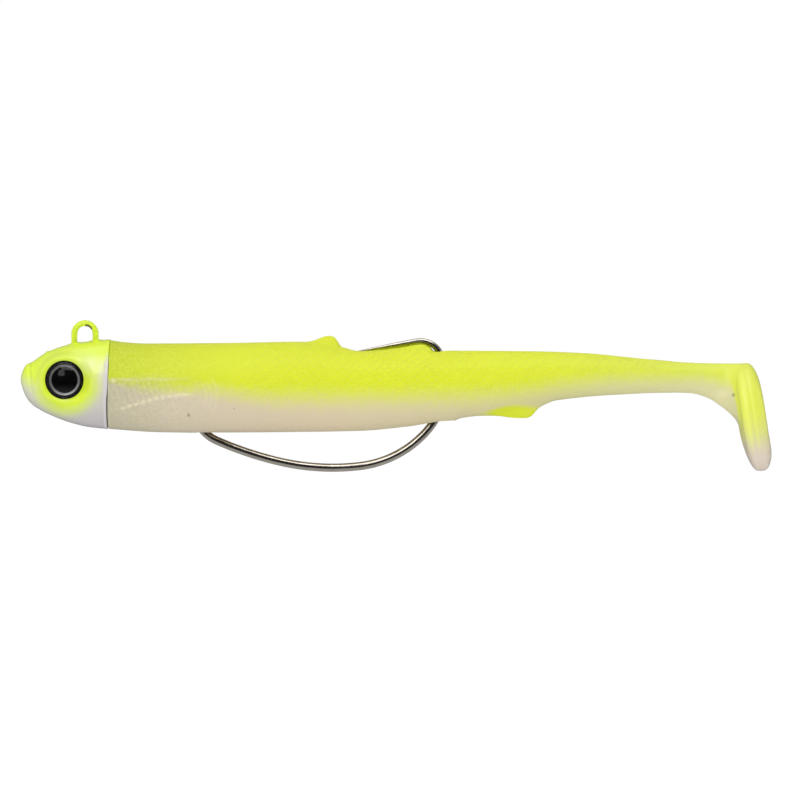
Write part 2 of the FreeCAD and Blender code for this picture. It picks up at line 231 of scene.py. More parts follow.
def bend_path(start, heading, runs, spacing):
    """Points, headings in radians and distances along straight runs and bends in the XZ plane.

    A run is (length, None) where it is straight, or (radius, degrees) where it bends, with up positive.
    """
    x, z = start
    angle = math.radians(heading)
    points, angles = [(x, z)], [angle]
    for size, turn in runs:
        if turn is None:
            steps = max(2, int(size / spacing))
            for t in np.linspace(0, 1, steps + 1)[1:]:
                points.append((x + size * t * math.cos(angle), z + size * t * math.sin(angle)))
                angles.append(angle)
        else:
            side = 1 if turn > 0 else -1
            cx = x - side * size * math.sin(angle)
            cz = z + side * size * math.cos(angle)
            steps = max(6, int(abs(math.radians(turn)) * size / spacing))
            for t in np.linspace(0, 1, steps + 1)[1:]:
                a = angle + math.radians(turn) * t
                points.append((cx + side * size * math.sin(a), cz - side * size * math.cos(a)))
                angles.append(a)
            angle += math.radians(turn)
        x, z = points[-1]
    points = np.array(points)
    steps = np.hypot(*np.diff(points, axis=0).T)
    return points, np.array(angles), np.concatenate([[0], np.cumsum(steps)])


def wire_rings(points, angles, tall, wide, around):
    """Rings along a path in the XZ plane: tall is the half size in the plane, wide the half size across."""
    turn = round_turn(around)
    up, out = np.sin(turn), np.cos(turn)
    rings = np.zeros((len(points), around, 3))
    rings[:, :, 0] = points[:, :1] - (tall * np.sin(angles))[:, None] * up
    rings[:, :, 1] = wide[:, None] * out
    rings[:, :, 2] = points[:, 1:] + (tall * np.cos(angles))[:, None] * up
    return rings


def store(thing, name, values):
    """Keeps one number or one vector per vertex for the materials."""
    values = np.asarray(values, np.float32)
    kind = "FLOAT_VECTOR" if values.ndim == 2 else "FLOAT"
    attribute = thing.data.attributes.new(name, kind, "POINT")
    attribute.data.foreach_set("vector" if values.ndim == 2 else "value", values.ravel())


def store_rest(thing):
    """Keeps each vertex's place in millimetres as "rest" for the materials, and returns the places."""
    flat = np.zeros(len(thing.data.vertices) * 3)
    thing.data.vertices.foreach_get("co", flat)
    points = flat.reshape(-1, 3) / MM
    store(thing, "rest", points)
    return points


# ---------------------------------------------------------------- node helpers

def linear(red, green, blue):
    """A screen colour, 0 to 255, as the linear colour that a shader takes."""
    parts = []
    for part in (red, green, blue):
        part /= 255
        parts.append(part / 12.92 if part <= 0.04045 else ((part + 0.055) / 1.055) ** 2.4)
    return (*parts, 1.0)


class Nodes:
    """A short way to write the nodes of a tree."""

    def __init__(self, tree):
        self.tree = tree

    def add(self, kind, **settings):
        node = self.tree.nodes.new(kind)
        for key, value in settings.items():
            setattr(node, key, value)
        return node

    def feed(self, socket, value):
        if isinstance(value, bpy.types.NodeSocket):
            self.tree.links.new(value, socket)
        else:
            socket.default_value = value

    def attribute(self, name):
        node = self.add("ShaderNodeAttribute", attribute_name=name)
        return node.outputs["Vector"] if name == "rest" else node.outputs["Fac"]

    def math(self, operation, *values, clamp=False):
        node = self.add("ShaderNodeMath", operation=operation, use_clamp=clamp)
        for socket, value in zip(node.inputs, values):
            self.feed(socket, value)
        return node.outputs[0]

    def split(self, vector):
        node = self.add("ShaderNodeSeparateXYZ")
        self.feed(node.inputs[0], vector)
        return node.outputs

    def join(self, x, y, z):
        node = self.add("ShaderNodeCombineXYZ")
        for socket, value in zip(node.inputs, (x, y, z)):
            self.feed(socket, value)
        return node.outputs[0]

    def fade(self, value, start, end, low=0.0, high=1.0):
        node = self.add("ShaderNodeMapRange", interpolation_type="SMOOTHSTEP")
        for name, part in (("Value", value), ("From Min", start), ("From Max", end),
                           ("To Min", low), ("To Max", high)):
            self.feed(node.inputs[name], part)
        return node.outputs[0]

    def ramp(self, value, stops):
        node = self.add("ShaderNodeValToRGB")
        band = node.color_ramp
        while len(band.elements) < len(stops):
            band.elements.new(0.5)
        for element, (place, colour) in zip(band.elements, stops):
            element.position = place
            element.color = colour
        self.feed(node.inputs[0], value)
        return node.outputs[0]

    def mix(self, share, first, second):
        node = self.add("ShaderNodeMix", data_type="RGBA")
        self.feed(node.inputs[0], share)
        self.feed(node.inputs[6], first)
        self.feed(node.inputs[7], second)
        return node.outputs[2]

    def noise(self, vector, scale, detail=3.0, roughness=0.5):
        node = self.add("ShaderNodeTexNoise")
        self.feed(node.inputs["Vector"], vector)
        self.feed(node.inputs["Scale"], scale)
        self.feed(node.inputs["Detail"], detail)
        self.feed(node.inputs["Roughness"], roughness)
        return node.outputs[0]

    def cells(self, vector, scale):
        node = self.add("ShaderNodeTexVoronoi")
        self.feed(node.inputs["Vector"], vector)
        self.feed(node.inputs["Scale"], scale)
        return node.outputs["Distance"]

    def bump(self, height, strength, distance):
        node = self.add("ShaderNodeBump")
        self.feed(node.inputs["Height"], height)
        self.feed(node.inputs["Strength"], strength)
        self.feed(node.inputs["Distance"], distance)
        return node.outputs[0]


class Material(Nodes):
    """A new material, with the nodes that feed its Principled shader."""

    def __init__(self, name):
        self.material = bpy.data.materials.new(name)
        self.material.use_nodes = True
        super().__init__(self.material.node_tree)
        self.shader = self.tree.nodes["Principled BSDF"]

    def finish(self, **sockets):
        for name, value in sockets.items():
            self.feed(self.shader.inputs[name.replace("_", " ")], value)
        return self.material


# ---------------------------------------------------------------- materials

# the long and the tall width of one diamond scale, in millimetres
SCALE_LONG = 1.5
SCALE_TALL = 1.15


def soft_plastic():
    """Chartreuse back running into a pearl belly, pressed with a net of small diamond scales."""
    n = Material("soft_chartreuse")
    place = n.attribute("rest")
    x, _, z = n.split(place)
    along = n.math("MULTIPLY_ADD", x, 1 / 104.0, -4.0 / 104.0, clamp=True)
    back = n.ramp(along, [
        (0.00, linear(198, 212, 34)), (0.10, linear(212, 223, 42)), (0.20, linear(221, 231, 38)),
        (0.42, linear(225, 235, 34)), (0.66, linear(225, 235, 46)), (0.90, linear(221, 232, 82)),
        (1.00, linear(232, 240, 92))])
    belly = n.ramp(along, [
        (0.00, linear(196, 189, 164)), (0.10, linear(215, 202, 178)), (0.30, linear(223, 206, 174)),
        (0.55, linear(221, 210, 166)), (0.72, linear(220, 217, 154)), (1.00, linear(224, 219, 172))])
    grain = n.math("SUBTRACT", n.noise(place, 0.9, 4.0, 0.6), 0.5)
    share = n.fade(n.math("MULTIPLY_ADD", grain, 0.35, n.attribute("tint")), 0.0, 1.0)
    colour = n.mix(share, belly, back)

    # clouding in the plastic, stronger near the nose
    clouds = n.noise(place, 2.6, 5.0, 0.65)
    depth = n.math("MULTIPLY_ADD", n.fade(x, 26.0, 6.0), 0.16, 0.05)
    dark = n.math("MULTIPLY", n.fade(clouds, 0.48, 0.7), depth)
    colour = n.mix(dark, colour, linear(150, 160, 40))
    light = n.math("MULTIPLY", n.fade(clouds, 0.5, 0.3), depth)
    colour = n.mix(light, colour, linear(246, 250, 160))

    # two families of slanting lines make the net; adding 100 keeps the positions above zero
    slant = n.math("DIVIDE", z, SCALE_TALL)
    across = n.math("DIVIDE", x, SCALE_LONG)
    lines = []
    for operation in ("ADD", "SUBTRACT"):
        place_in_cell = n.math("FRACT", n.math("ADD", n.math(operation, across, slant), 100.0))
        lines.append(n.fade(n.math("ABSOLUTE", n.math("SUBTRACT", place_in_cell, 0.5)), 0.36, 0.5))
    wear = n.fade(n.noise(place, 0.12, 2.0), 0.3, 0.7, 0.7, 1.0)
    net = n.math("MULTIPLY", n.math("MAXIMUM", *lines), n.attribute("scaly"))
    scaled = n.math("MULTIPLY", net, wear)
    colour = n.mix(n.math("MULTIPLY", scaled, 0.26), colour, linear(246, 250, 130))

    # painted highlights: beads, ridge lip, gill arcs and ribs are painted lighter where light would catch
    # them, with a pale dot behind the head and a painted reflection as a pale patch before the paddle; specks
    # of pigment are dark
    colour = n.mix(n.math("MULTIPLY", n.attribute("painted_highlights"), 0.75), colour, linear(246, 238, 196))
    specks = n.fade(n.cells(place, 0.16), 0.024, 0.014)
    specks = n.math("MAXIMUM", n.math("MULTIPLY", specks, 0.6), n.attribute("flaw"))
    colour = n.mix(n.math("MULTIPLY", specks, 0.85), colour, linear(92, 78, 44))

    # the lower paddle turns the plastic's milky pink, painted paler as if lit through, and painted highlights
    # run up its edge in bands
    colour = n.mix(n.attribute("tip"), colour, linear(232, 216, 200))
    colour = n.mix(n.math("MULTIPLY", n.attribute("bright"), 0.6), colour, linear(244, 252, 118))

    pores = n.noise(place, 7.0, 4.0, 0.6)
    height = n.math("ADD", scaled, n.math("MULTIPLY", pores, 0.25))
    normal = n.bump(height, 0.8, 0.0001)
    rough = n.math("MULTIPLY_ADD", pores, 0.18, n.fade(x, 86.0, 98.0, 0.30, 0.17))
    return n.finish(Base_Color=colour, Roughness=rough, Normal=normal, IOR=1.45,
                    Coat_Weight=0.08, Coat_Roughness=0.2, Specular_IOR_Level=0.3)


def head_paint():
    """Glossy lacquer on a cast head: chartreuse over pearl white, airbrushed round the eye."""
    n = Material("head_paint")
    place = n.attribute("rest")
    z = n.split(place)[2]
    mist = n.math("SUBTRACT", n.noise(place, 1.1, 4.0, 0.6), 0.5)
    share = n.fade(n.math("MULTIPLY_ADD", mist, 0.3, n.attribute("tint")), 0.0, 1.0)
    pearl = n.ramp(n.fade(z, -15.2, -5.0), [
        (0.0, linear(196, 191, 192)), (0.3, linear(206, 203, 194)), (1.0, linear(226, 222, 205))])
    colour = n.mix(share, pearl, linear(224, 246, 52))
    colour = n.mix(n.math("MULTIPLY", n.attribute("halo"), 0.35), colour, linear(212, 230, 92))
    flecks = n.noise(place, 14.0, 2.0, 0.5)
    colour = n.mix(n.fade(flecks, 0.55, 0.75, 0.0, 0.12), colour, linear(250, 252, 214))
    colour = n.mix(n.math("MULTIPLY", n.attribute("rim"), 0.85), colour, linear(214, 209, 212))
    # a painted highlight: a pale patch where a window's reflection falls on the upper head, above and behind
    # the eye
    colour = n.mix(n.math("MULTIPLY", n.attribute("painted_highlight_patch"), 0.5), colour, linear(240, 243, 196))
    normal = n.bump(n.noise(place, 3.2, 3.0, 0.5), 0.25, 0.00006)
    rough = n.math("MULTIPLY_ADD", flecks, 0.12, 0.16)
    return n.finish(Base_Color=colour, Roughness=rough, Normal=normal, IOR=1.5,
                    Coat_Weight=0.45, Coat_Roughness=0.1, Specular_IOR_Level=0.4)


def tie_finish():
    """The wire through the head: lacquered where it stands on the head, rubbed to metal inside the loop."""
    n = Material("tie_finish")
    place = n.attribute("rest")
    chips = n.noise(place, 1.1, 2.0, 0.5)
    uneven = n.math("MULTIPLY", n.math("SUBTRACT", chips, 0.5), 0.6)
    bare = n.fade(n.math("ADD", n.attribute("bare"), uneven), 0.42, 0.58)
    metal = n.mix(n.noise(place, 9.0, 3.0), linear(78, 74, 70), linear(150, 146, 140))
    paint = n.mix(n.fade(chips, 0.35, 0.7), linear(224, 246, 56), linear(214, 237, 54))
    colour = n.mix(bare, paint, metal)
    normal = n.bump(n.noise(place, 1.2, 1.0), 0.15, 0.00003)
    rough = n.math("MULTIPLY_ADD", bare, 0.05, 0.27)
    return n.finish(Base_Color=colour, Metallic=bare, Roughness=rough, Normal=normal, IOR=1.45,
                    Coat_Weight=0.3, Coat_Roughness=0.2)


def nickel():
    """Black-nickel plated hook wire with fine drawing lines along it."""
    n = Material("black_nickel")
    place = n.attribute("rest")
    along = n.math("MULTIPLY", n.attribute("run"), 0.35)
    round_it = n.math("MULTIPLY", n.attribute("turn"), 9.0)
    lines = n.noise(n.join(along, round_it, 0.0), 1.0, 4.0, 0.7)
    colour = n.mix(n.noise(place, 0.8, 3.0), linear(176, 168, 156), linear(214, 208, 198))
    colour = n.mix(n.fade(lines, 0.55, 0.8, 0.0, 0.35), colour, linear(120, 112, 104))
    normal = n.bump(lines, 0.25, 0.00003)
    rough = n.math("MULTIPLY_ADD", lines, 0.12, 0.06)
    return n.finish(Base_Color=colour, Metallic=1.0, Roughness=rough, Normal=normal)


def eye_print():
    """Foil eye: black pupil, bright ring, black border."""
    n = Material("eye_foil")
    out = n.attribute("ring")
    place = n.attribute("rest")
    ring = n.math("MULTIPLY", n.fade(out, 2.17, 2.24), n.fade(out, 2.58, 2.50))
    round_it = n.math("MULTIPLY", n.attribute("turn"), 2.2)
    swirl = n.noise(n.join(round_it, n.math("MULTIPLY", out, 5.0), 0.0), 3.0, 4.0, 0.6)
    foil = n.mix(swirl, linear(186, 184, 184), linear(250, 248, 246))
    dark = n.mix(n.noise(place, 5.0, 3.0), linear(8, 8, 8), linear(22, 21, 20))
    colour = n.mix(ring, dark, foil)
    metal = n.math("MULTIPLY", ring, 0.72)
    rough = n.math("MULTIPLY_ADD", swirl, 0.15, 0.3)
    return n.finish(Base_Color=colour, Metallic=metal, Roughness=rough, IOR=1.15)


def resin():
    """Clear domed resin over the eye."""
    n = Material("clear_resin")
    waves = n.noise(n.attribute("rest"), 0.7, 2.0)
    colour = n.mix(waves, (1.0, 1.0, 1.0, 1.0), (0.97, 0.98, 1.0, 1.0))
    rough = n.math("MULTIPLY", waves, 0.02)
    return n.finish(Base_Color=colour, Transmission_Weight=1.0, Roughness=rough, IOR=1.32)


SOFT = soft_plastic()
PAINT = head_paint()
TIE = tie_finish()
NICKEL = nickel()
EYE = eye_print()
RESIN = resin()


def dress(thing, material):
    thing.data.materials.clear()
    thing.data.materials.append(material)


# ---------------------------------------------------------------- soft body

# outlines along the body: (x, z) of the back and belly, (x, half width) of the flank
BACK = smooth_line([
    (3.9, -1.0), (6.0, -1.32), (10.0, -1.55), (24.0, -1.45), (34.0, -1.27), (38.0, -1.62), (41.0, -2.15),
    (44.5, -2.5), (58.0, -2.68), (72.0, -2.8), (80.0, -3.1), (90.0, -4.05), (98.0, -4.62), (106.5, -4.75)])
BELLY = smooth_line([
    (3.9, -15.22), (12.0, -15.76), (22.0, -15.86), (34.0, -15.78), (44.0, -15.6), (52.0, -14.88),
    (57.0, -14.1), (58.8, -13.98), (60.2, -13.5), (64.0, -13.0), (70.0, -11.9), (76.0, -10.58),
    (84.0, -9.82), (93.5, -9.44), (97.0, -9.57), (99.5, -10.25), (102.0, -11.85), (103.4, -13.0),
    (104.25, -14.0), (104.8, -15.2), (105.1, -16.6), (105.6, -18.2)])
FLANK = smooth_line([
    (3.9, 5.62), (10.0, 5.75), (18.0, 5.8), (28.0, 5.8), (36.0, 5.6), (44.0, 5.25), (50.0, 4.8),
    (57.0, 4.25), (64.0, 3.7), (71.0, 3.2), (77.5, 2.7), (85.5, 2.1), (92.0, 1.65), (98.5, 1.3),
    (102.0, 1.35), (103.2, 1.7), (104.2, 2.5), (104.9, 3.7), (105.6, 5.0)])
# height and half depth of the change from chartreuse to pearl
FADE_AT = smooth_line([
    (4.0, -7.5), (12.0, -8.1), (16.0, -8.6), (22.0, -9.5), (32.0, -10.6), (60.0, -10.4), (68.0, -9.8),
    (79.0, -8.0), (86.0, -7.4), (98.0, -7.3), (103.0, -8.2), (106.0, -10.0)])
FADE_WIDE = smooth_line([
    (4.0, 0.5), (12.0, 2.0), (22.0, 2.3), (34.0, 2.8), (60.0, 2.8), (80.0, 2.0), (106.0, 1.6)])
# the row of beads along the foot of the side panel
BEADS = smooth_line([(4.0, -12.7), (5.6, -12.2), (9.1, -11.1), (13.6, -10.06), (18.0, -9.7), (22.0, -9.6)])
# how far the lips of the slot and the anal fin stand off the outline
LIP = smooth_line([
    (41.5, 0.0), (43.8, -0.25), (46.0, -0.12), (49.6, 0.32), (51.4, 0.62), (53.0, 0.95), (53.9, 1.0),
    (55.1, 0.55), (55.8, -0.1), (56.5, -0.12), (57.6, 0.05), (58.6, 0.0)])
KEEL = smooth_line([
    (63.0, 0.0), (64.5, 0.2), (66.5, 0.62), (68.0, 1.12), (69.5, 1.5), (70.9, 1.72), (71.4, 1.6),
    (72.5, 0.68), (73.5, 0.3), (75.0, 0.0)])

# the ridge along the top of the side panel
RIDGE = -7.45
RIB_STEP = 0.95
BEAD_STEP = 1.15 / 1.08
GILL_AT = (17.0, -9.9)

# the upright paddle: its middle, its lean from the vertical, and that lean's slope
PADDLE_AT = (106.65, -13.35)
PADDLE_LEAN = 8.6
PADDLE_SLOPE = 0.151
PADDLE_WIDE = 5.8
PADDLE_TALL = 8.75


def side_marks(x, y, z):
    """Relief pressed into the flanks: panel, ribs, beads and arcs, each 0 to 1."""
    reach = ease(x, 3.9, 4.3) * (1 - ease(x, 15.0, 19.5))
    low = BEADS(x)
    panel = reach * ease(z, low - 0.1, low + 0.35) * (1 - ease(z, RIDGE - 0.35, RIDGE + 0.1))
    ribs = panel * np.sin(2 * math.pi * (x + 0.35 * z) / RIB_STEP) * (1 - ease(x, 12.0, 15.5))
    beat = (0.5 + 0.5 * np.cos(2 * math.pi * x / BEAD_STEP)) ** 0.5
    row = ease(x, 5.4, 6.6) * (1 - ease(x, 15.5, 18.5))
    beads = row * hump(z, low, 0.2) * np.maximum(beat, ease(x, 13.5, 16.5))
    lip = hump(z, RIDGE + 0.05, 0.15) * ease(x, 3.9, 4.5) * (1 - ease(x, 13.0, 17.5))
    back = x - GILL_AT[0]
    away = np.hypot(back, z - GILL_AT[1])
    facing = np.where(back > 0, ease(back / np.maximum(away, 0.01), 0.7, 0.95), 0)
    arcs = facing * (hump(away, 2.7, 0.17) + hump(away, 3.5, 0.17) + hump(away, 4.4, 0.17))
    side = ease(np.abs(y), 1.0, 2.5)
    return panel * side, ribs * side, beads * side, lip * side, arcs * side


def skin(xs, around):
    """Rings of the soft body at the given stations, with its relief and fins."""
    turn = round_turn(around)
    top, bottom, wide = BACK(xs)[:, None], BELLY(xs)[:, None], FLANK(xs)[:, None]
    power = 2 / (2.25 - 0.25 * ease(xs, 50, 80))[:, None]
    middle = (top + bottom) / 2
    x = np.repeat(xs[:, None], around, 1)
    y = -wide * signed_power(np.sin(turn), power)
    z = middle + (top - bottom) / 2 * signed_power(np.cos(turn), power)

    above, below = z > middle, z <= middle
    nub = 1.5 * ease(xs, 34.4, 39.4) ** 1.5 * (1 - ease(xs, 39.7, 41.3))
    far_lip = 0.62 * ease(xs, 44.5, 47.5) * (1 - ease(xs, 54.6, 56.4))
    z = z + above * nub[:, None] * np.exp(-(y / 1.15) ** 2)
    z = z + above * (1.23 * LIP(xs)[:, None] + far_lip[:, None] * (y > 0)) * np.exp(-(y / 2.2) ** 2)
    z = z - below * KEEL(xs)[:, None] * np.exp(-(y / 0.9) ** 2)

    out_y = y / wide ** 2
    out_z = (z - middle) / ((top - bottom) / 2) ** 2
    size = np.hypot(out_y, out_z) + 1e-9
    panel, ribs, beads, lip, arcs = side_marks(x, y, z)
    push = -0.13 * panel + 0.07 * ribs + 0.16 * beads + 0.05 * lip + 0.05 * arcs
    y = y + push * out_y / size
    z = z + push * out_z / size
    return np.stack([x, y, z], axis=2)


def soft_marks(thing):
    """Per-vertex values for the soft plastic, all worked out at the rest shape."""
    x, y, z = store_rest(thing).T
    panel, ribs, beads, lip, arcs = side_marks(x, y, z)
    over = x + (z - PADDLE_AT[1]) * PADDLE_SLOPE - PADDLE_AT[0]
    disc = ease(over, -2.7, -2.05)
    tint = 0.5 + (z - FADE_AT(x)) / (2 * FADE_WIDE(x))
    tint = tint + (0.5 + (z + 16.0) / 9 - tint) * disc
    fin = ease(np.hypot((x - 69.6) / 5.4, (z + 13.4) / 2.4), 1.15, 0.45)
    streak = ease(x, 60.5, 66.0) * (1 - ease(x, 66.0, 70.0)) * hump(z, BELLY(x) + 0.2, 0.6)
    store(thing, "tint", np.clip(np.maximum(tint + 0.2 * panel, fin + 0.6 * streak), -0.5, 1.5))

    # painted highlights: the relief painted lighter where light would catch it, a pale dot behind the head,
    # and a painted reflection as a pale patch before the paddle, on the near side only
    dot = hump(np.hypot(x - 4.95, z + 7.5), 0, 0.26)
    # the pale patch is a painted reflection, seen on the near side only
    pearl = 0.45 * hump(np.hypot((x - 102.0) / 1.3, (z + 9.6) / 0.7), 0, 1) * (y < 0)
    light = beads + 0.55 * lip + 0.25 * arcs + 0.14 * np.maximum(ribs, 0) + dot + pearl
    store(thing, "painted_highlights", np.clip(light, 0, 1))

    # two dark specks, on the near side only
    flaw = np.minimum(np.hypot(x - 16.8, z + 13.0), np.hypot(x - 103.6, z + 9.8))
    store(thing, "flaw", hump(flaw, 0, 0.2) * (y < 0))

    scaly = ease(x, 16.0, 30.0) * (1 - ease(x, 90.0, 98.0)) * ease(z, FADE_AT(x) - 1.0, FADE_AT(x) + 1.5)
    store(thing, "scaly", 0.7 * scaly * ease(np.abs(y), 0.5, 1.2))

    # the lower paddle: the plastic's milky pink, painted paler as if lit through; then bands of painted
    # highlight up the paddle's edge
    store(thing, "tip", disc * ease(z, -15.5, -20.5))
    painted_highlight_bands = hump(over, -1.0, 0.4) + 0.9 * hump(over, 0.1, 0.22)
    tall = ease(z, -20.0, -15.5) * (1 - ease(z, -7.5, -5.0))
    rim = ease(np.hypot(y / 5.7, (z - PADDLE_AT[1]) / 8.5), 0.8, 0.93)
    store(thing, "bright", np.clip(painted_highlight_bands * tall * disc * rim, 0, 1))


def soft_piece(name, around, *spans):
    return tube_mesh(name, skin(stations(*spans), around))


def lean_rear(x, z):
    """The meeting face of head and body leans forward at the chin."""
    return x + (0.12 - 0.32 * ease(z, -1.0, -15.2)) * ease(x, 0.0, 4.0) * (1 - ease(x, 4.2, 9.0))


rings = skin(stations((4.07, 12.7, 0.19)), 160)
rings[:, :, 0] = lean_rear(rings[:, :, 0], rings[:, :, 2])
collar = tube_mesh("soft_collar", rings)
nose_pocket = lathe("pocket", [(0, 5.5), (3.0, 5.5), (3.0, 14.0), (0, 14.0)], (0, 0, -8.1), (1, 0, 0), 48)
carve(collar, nose_pocket)

trunk = soft_piece("soft_trunk", 160, (12.7, 24.0, 0.2), (24.0, 40.0, 0.4), (40.0, 60.0, 0.2),
                   (60.0, 70.0, 0.4))
slot_outline = [
    (12.0, -9.4), (13.2, -9.5), (18.0, -15.96), (18.0, -20.0), (59.0, -20.0), (59.0, -3.6), (53.4, -3.6),
    (53.4, -11.8), (19.6, -11.8), (18.2, -11.2), (15.5, -7.7), (14.9, -6.7), (12.0, -6.7)]
carve(trunk, prism("slot", slot_outline, 1.0))

# the mouth of the slot in the back: a narrow slit for the point that widens to a round end
SLIT_FROM = 42.0
SLIT_TO = 57.5
one_side = [(x, 0.35 + 0.65 * float(ease(x, SLIT_FROM, 52.0))) for x in np.linspace(SLIT_FROM, SLIT_TO, 32)]
round_end = [(SLIT_TO + math.sin(a), math.cos(a)) for a in np.linspace(0.1, 3.04, 20)]
mouth = one_side + round_end + [(x, -w) for x, w in one_side[::-1]]
opening = prism("mouth", mouth, 3.0)

# the outline was drawn upright: it is laid flat, its middle 1 mm below the origin
for vertex in opening.data.vertices:
    x, y, z = vertex.co
    vertex.co = (x, z, -1.0 * MM - y)
carve(trunk, opening)

tail_root = soft_piece("soft_tail_root", 120, (70.0, 82.5, 0.3))
tail_stem = soft_piece("soft_tail_stem", 96, (82.5, 94.0, 0.3))


def paddle_disc():
    """The upright paddle: a thick oval slab with a raised front lip and a shallow channel round its rim."""
    # (share of the full outline, place from front to rear), from the front face over the rim to the rear
    profile = [
        (0.15, -1.5), (0.4, -1.55), (0.6, -1.68), (0.74, -1.85), (0.84, -1.93), (0.92, -1.85),
        (0.965, -1.6), (0.99, -1.2), (1.0, -0.8), (0.992, -0.35), (0.99, -0.1), (1.0, 0.3),
        (0.995, 0.7), (0.975, 1.15), (0.94, 1.55), (0.88, 1.86), (0.78, 2.02), (0.62, 1.96),
        (0.4, 1.78), (0.15, 1.7)]
    reach = smooth_line([(i, share) for i, (share, across) in enumerate(profile)])
    depth = smooth_line([(i, across) for i, (share, across) in enumerate(profile)])
    steps = np.linspace(0, len(profile) - 1, 70)
    turn = round_turn(120)
    lean = math.radians(PADDLE_LEAN)
    rings = []
    for share, across in zip(reach(steps), depth(steps)):
        inset = (1 - share) * PADDLE_WIDE
        slope = 0.3 * float(ease(across, -0.9, 1.4))
        wide = max(PADDLE_WIDE - inset * (0.8 if across < 0 else 1.0) - slope, 0.3)
        tall = max(PADDLE_TALL - inset * 1.15 - 0.85 * abs((across - 0.15) / 1.5) ** 3, 0.3)
        side = wide * np.sin(turn)
        up = tall * signed_power(np.cos(turn), 0.92)
        x = PADDLE_AT[0] + across * math.cos(lean) - up * math.sin(lean) + 0.3 * ease(up, -2.0, -7.0)
        z = PADDLE_AT[1] + across * math.sin(lean) + up * math.cos(lean)
        rings.append(np.stack([x, side, z], axis=1))
    return tube_mesh("paddle_disc", rings)


def fuse(name, things, voxel, smooth_steps):
    """One closed skin round several overlapping ones, its inner corners rounded."""
    bm = bmesh.new()
    for thing in things:
        bm.from_mesh(thing.data)
    mesh = bpy.data.meshes.new(name)
    bm.to_mesh(mesh)
    bm.free()
    for thing in things:
        bpy.data.objects.remove(thing)
    whole = bpy.data.objects.new(name, mesh)
    bpy.context.scene.collection.objects.link(whole)
    remesh = whole.modifiers.new("skin", "REMESH")
    remesh.mode = "VOXEL"
    remesh.voxel_size = voxel * MM
    remesh.use_smooth_shade = True
    soften = whole.modifiers.new("soften", "SMOOTH")
    soften.factor = 0.5
    soften.iterations = smooth_steps
    apply_modifiers(whole)
    return whole


def cut_off_before(thing, x):
    """Removes everything in front of a station and closes the cut."""
    bm = bmesh.new()
    bm.from_mesh(thing.data)
    everything = bm.verts[:] + bm.edges[:] + bm.faces[:]
    made = bmesh.ops.bisect_plane(bm, geom=everything, plane_co=(x * MM, 0, 0), plane_no=(1, 0, 0),
                                  clear_inner=True)
    rim = [e for e in made["geom_cut"] if isinstance(e, bmesh.types.BMEdge)]
    bmesh.ops.contextual_create(bm, geom=rim)
    for edge in rim:
        edge.smooth = False
    bm.to_mesh(thing.data)
    bm.free()


web = soft_piece("web", 120, (91.5, 105.6, 0.2))
tail_fin = fuse("soft_tail_fin", [web, paddle_disc()], 0.2, 14)
cut_off_before(tail_fin, 94.0)
tail_fin.data.polygons.foreach_set("use_smooth", [True] * len(tail_fin.data.polygons))

for piece in (collar, trunk, tail_root, tail_stem, tail_fin):
    soft_marks(piece)
    dress(piece, SOFT)
for piece in (collar, trunk):
    piece.data.set_sharp_from_angle(angle=math.radians(50))

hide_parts("body_collar")
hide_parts("body_trunk")
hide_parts("tail_root")
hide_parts("tail_stem")
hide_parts("tail_paddle")


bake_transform(collar)
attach(trunk, "trunk")
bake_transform(tail_root)
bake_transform(tail_stem)
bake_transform(tail_fin)


# ---------------------------------------------------------------- head

EYE_AT = (-2.97, -7.4)
NOSE = -10.27

# place, top, bottom and half width; they are read against the root of the distance from the nose, which
# makes the nose round
HEAD = [
    (-10.27, -7.3, -7.3, 0.0), (-10.1, -6.35, -8.3, 0.95), (-9.3, -4.9, -10.3, 2.2),
    (-8.35, -4.45, -11.4, 3.0), (-7.2, -3.62, -12.15, 3.7), (-5.3, -2.6, -13.1, 4.5),
    (-2.1, -1.62, -14.28, 5.3), (0.5, -1.22, -14.9, 5.6), (4.2, -0.85, -15.27, 5.7)]
HEAD_TOP = smooth_line([(math.sqrt(x - NOSE), top) for x, top, bottom, wide in HEAD])
HEAD_BOTTOM = smooth_line([(math.sqrt(x - NOSE), bottom) for x, top, bottom, wide in HEAD])
HEAD_WIDE = smooth_line([(math.sqrt(x - NOSE), wide) for x, top, bottom, wide in HEAD])
# x of the mouth's crease and of the crease before the pale rear rim, by height
MOUTH = smooth_line([(-10.5, -7.75), (-8.7, -8.35), (-7.0, -8.6), (-4.4, -8.9)])
CREASE = smooth_line([(-15.5, 3.25), (-4.0, 3.5)])

# radius of the line tie's loop, and half the distance between its legs
TIE_RADIUS = 1.7


